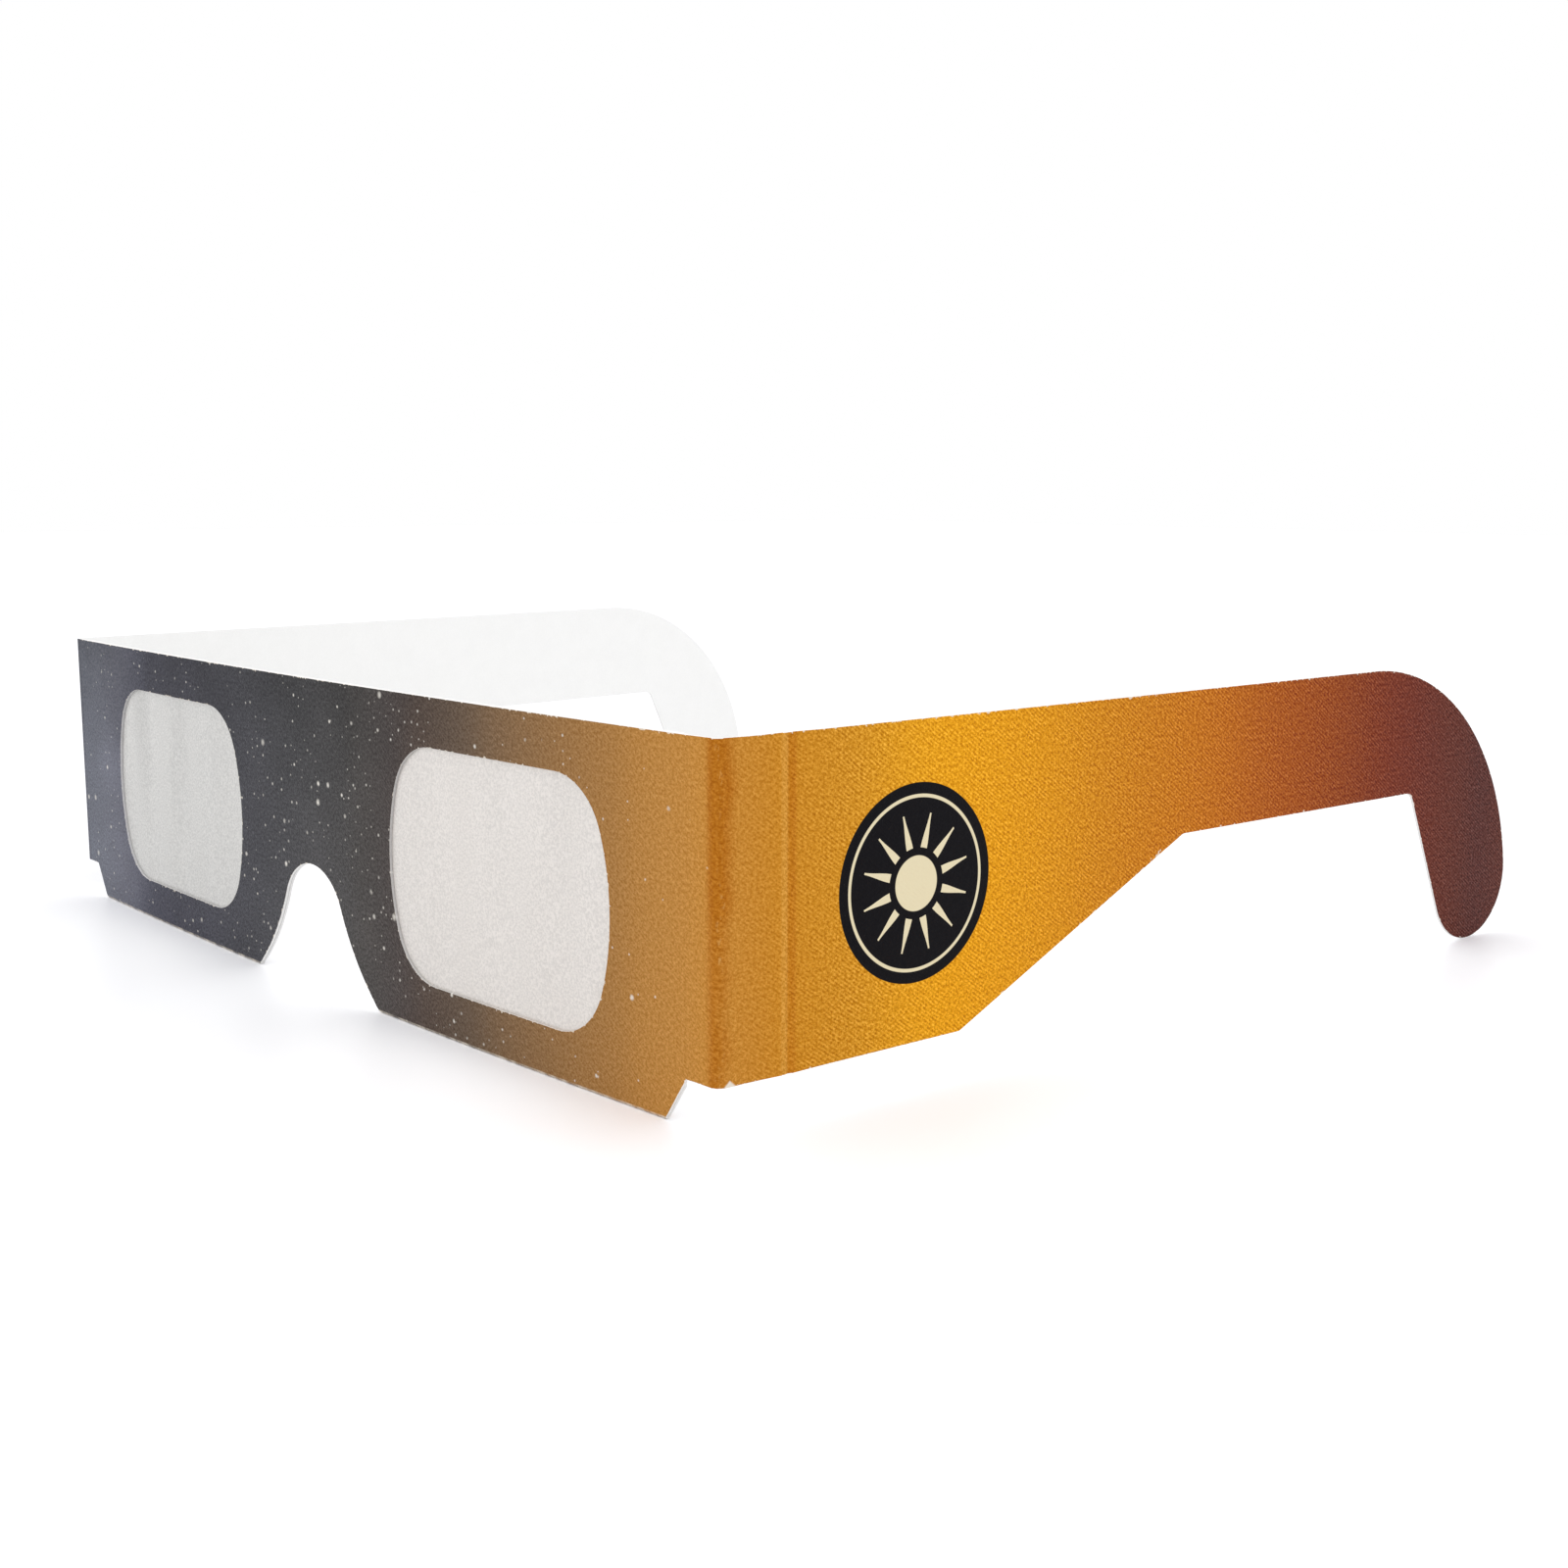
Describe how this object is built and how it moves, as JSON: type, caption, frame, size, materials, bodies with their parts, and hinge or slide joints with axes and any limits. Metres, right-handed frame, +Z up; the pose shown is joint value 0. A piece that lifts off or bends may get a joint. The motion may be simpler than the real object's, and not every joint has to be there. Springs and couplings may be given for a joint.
{
  "type": "eclipse glasses",
  "caption": "Folding paper eclipse glasses: bowed two-layer front with filter films glued between the layers, and creased temple arms with ear hooks.",
  "frame": {"origin": "middle of the footprint, on the surface that the glasses stand on", "axes": "+X to the wearer's left along the front, +Y back along the temple arms (the wearer looks along -Y), +Z up"},
  "size_m": [0.1546, 0.1319, 0.0362],
  "materials": {
    "printed_board": "offset-printed folding board, satin, white inside and at the cut edges",
    "inner_board": "unprinted white board, matte",
    "crease": "printed board pressed thin along a crease",
    "filter_film": "pale silvery filter film with a fine grain",
    "glue": "dried white paper glue"
  },
  "bodies": {
    "front": {"front_panel": "printed_board", "lens_flap": "inner_board", "glue_layer": "glue", "left_filter_film": "filter_film", "right_filter_film": "filter_film"},
    "left_strip": {"left_corner_crease": "crease", "left_corner_strip": "printed_board"},
    "left_arm": {"left_arm_crease": "crease", "left_temple_arm": "printed_board"},
    "right_strip": {"right_corner_crease": "crease", "right_corner_strip": "printed_board"},
    "right_arm": {"right_arm_crease": "crease", "right_temple_arm": "printed_board"}
  },
  "joints": [
    {"name": "left_corner_fold", "type": "hinge", "parent": "front", "child": "left_strip", "pos_m": [0.06985, -0.06379, 0.02035], "axis": [0, 0, 1], "range_deg": [-81.4, 10.6], "deforming": ["left_corner_crease"]},
    {"name": "left_arm_fold", "type": "hinge", "parent": "left_strip", "child": "left_arm", "pos_m": [0.07074, -0.05639, 0.02035], "axis": [0, 0, 1], "range_deg": [-2.6, 82.4], "deforming": ["left_arm_crease"]},
    {"name": "right_corner_fold", "type": "hinge", "parent": "front", "child": "right_strip", "pos_m": [-0.06985, -0.06379, 0.02035], "axis": [0, 0, -1], "range_deg": [-81.4, 10.6], "deforming": ["right_corner_crease"]},
    {"name": "right_arm_fold", "type": "hinge", "parent": "right_strip", "child": "right_arm", "pos_m": [-0.07074, -0.05639, 0.02035], "axis": [0, 0, -1], "range_deg": [-2.6, 78.4], "deforming": ["right_arm_crease"]}
  ]
}
